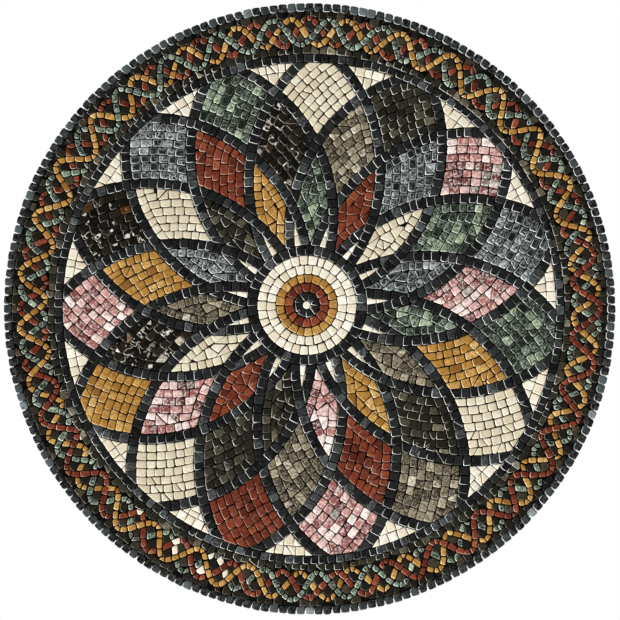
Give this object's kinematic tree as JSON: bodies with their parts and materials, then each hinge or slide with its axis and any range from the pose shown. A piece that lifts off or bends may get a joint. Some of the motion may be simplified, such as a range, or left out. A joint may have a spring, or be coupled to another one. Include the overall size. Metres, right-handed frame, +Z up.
{
  "type": "mosaic panel",
  "caption": "Round hand-laid stone mosaic panel with a rosette of crossing circles round a ringed middle and a braided border band.",
  "frame": {"origin": "centre of the flat back face of the mortar bed", "axes": "+Z up the panel, +X to the right as seen from the front, +Y out of the back; the face of the mosaic looks towards -Y"},
  "size_m": [0.61, 0.013, 0.61],
  "materials": {
    "cream": "honed cream limestone",
    "white": "honed white marble",
    "ochre": "honed ochre yellow marble, tile to tile browner",
    "red": "honed brick-red limestone",
    "pink": "honed pink marble mottled white and maroon",
    "green": "polished mottled green marble",
    "slate": "polished blue-grey slate with pale worn edges",
    "taupe": "honed grey-brown limestone, mixed from tile to tile",
    "dark": "honed dark olive-brown stone",
    "veined": "polished near-black brown marble with white veins",
    "brown": "dark brown ground stones with ochre, red and green strands of stones",
    "black": "honed black basalt",
    "mortar": "dark grey cement mortar, matt"
  },
  "bodies": {
    "root": {"mortar_bed": "mortar", "rim_row": "black", "braided_band": "brown", "dark_row": "dark", "border_row_and_triangles": "black", "black_circle_rows": "black", "hub_row_and_needles": "black", "white_ring": "white", "cream_ring": "cream", "ochre_ring": "ochre", "red_ring": "red", "black_ring": "black", "centre_stone": "white", "outer_field_01": "cream", "middle_field_01": "taupe", "petal_01": "green", "outer_field_02": "dark", "middle_field_02": "slate", "petal_02": "red", "outer_field_03": "pink", "middle_field_03": "green", "petal_03": "cream", "outer_field_04": "slate", "middle_field_04": "pink", "petal_04": "slate", "outer_field_05": "green", "middle_field_05": "ochre", "petal_05": "green", "outer_field_06": "cream", "middle_field_06": "dark", "petal_06": "taupe", "outer_field_07": "taupe", "middle_field_07": "red", "petal_07": "ochre", "outer_field_08": "pink", "middle_field_08": "taupe", "petal_08": "pink", "outer_field_09": "red", "middle_field_09": "dark", "petal_09": "dark", "outer_field_10": "cream", "middle_field_10": "pink", "petal_10": "red", "outer_field_11": "ochre", "middle_field_11": "veined", "petal_11": "cream", "outer_field_12": "pink", "middle_field_12": "ochre", "petal_12": "taupe", "outer_field_13": "veined", "middle_field_13": "cream", "petal_13": "slate", "outer_field_14": "slate", "middle_field_14": "red", "petal_14": "dark", "outer_field_15": "green", "middle_field_15": "veined", "petal_15": "ochre"}
  },
  "joints": []
}
